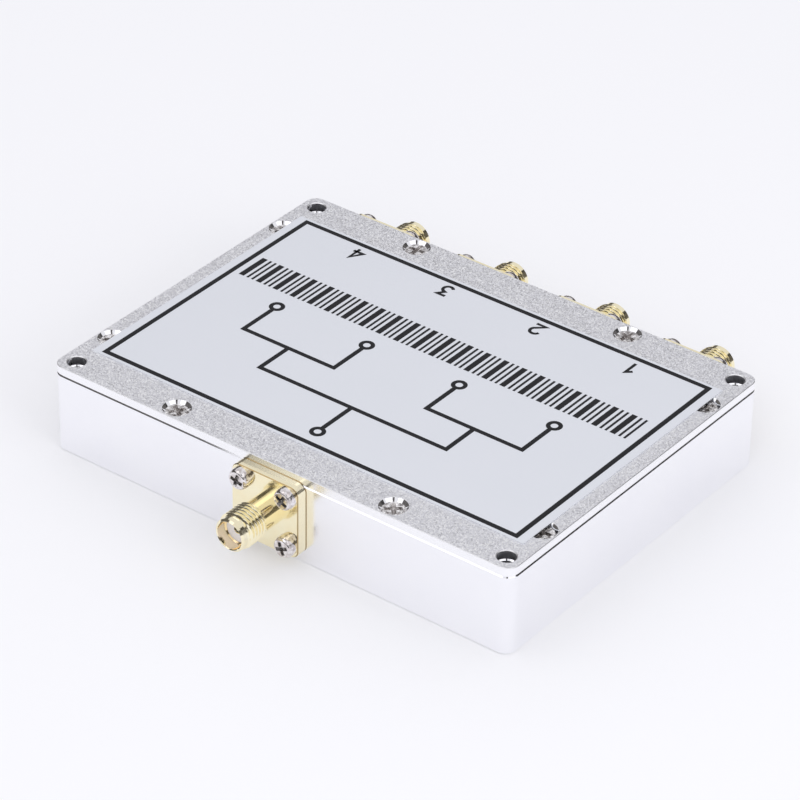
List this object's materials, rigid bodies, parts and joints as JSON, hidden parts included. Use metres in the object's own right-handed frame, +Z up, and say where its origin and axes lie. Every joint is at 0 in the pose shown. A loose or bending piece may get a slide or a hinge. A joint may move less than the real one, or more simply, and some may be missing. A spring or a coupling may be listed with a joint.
{
  "type": "rf power splitter",
  "caption": "Flat milled metal box with a screwed lid that splits a radio signal from a common coaxial jack on one long side to a row of output jacks on the other.",
  "frame": {"origin": "centre of the box's underside", "axes": "+X along the box, +Y towards the output jacks, +Z up through the lid"},
  "size_m": [0.088, 0.0858, 0.0157],
  "materials": {
    "polished_aluminium": "polished, clear",
    "blasted_aluminium": "bead blasted, bright edge",
    "foil_label": "silver film with black print",
    "plated_steel": "nickel plated",
    "gold_plate": "gold plated, polished",
    "fluoropolymer": "white, turned",
    "laminate": "woven glass laminate",
    "copper": "bare copper foil",
    "resistor_ceramic": "glazed chip",
    "solder": "bright tin solder"
  },
  "bodies": {
    "root": {"housing": "polished_aluminium", "lid": "blasted_aluminium", "label": "foil_label", "lid_screws": "plated_steel", "common_jack_shell": "gold_plate", "output_1_jack_shell": "gold_plate", "output_2_jack_shell": "gold_plate", "output_3_jack_shell": "gold_plate", "output_4_jack_shell": "gold_plate", "common_jack_insulator": "fluoropolymer", "output_1_jack_insulator": "fluoropolymer", "output_2_jack_insulator": "fluoropolymer", "output_3_jack_insulator": "fluoropolymer", "output_4_jack_insulator": "fluoropolymer", "common_jack_contact": "gold_plate", "output_1_jack_contact": "gold_plate", "output_2_jack_contact": "gold_plate", "output_3_jack_contact": "gold_plate", "output_4_jack_contact": "gold_plate", "common_flange_screws": "plated_steel", "output_1_flange_screws": "plated_steel", "output_2_flange_screws": "plated_steel", "output_3_flange_screws": "plated_steel", "output_4_flange_screws": "plated_steel", "circuit_board": "laminate", "microstrip_traces": "copper", "isolation_resistors": "resistor_ceramic", "board_screws": "plated_steel", "solder_joints": "solder"}
  },
  "joints": []
}
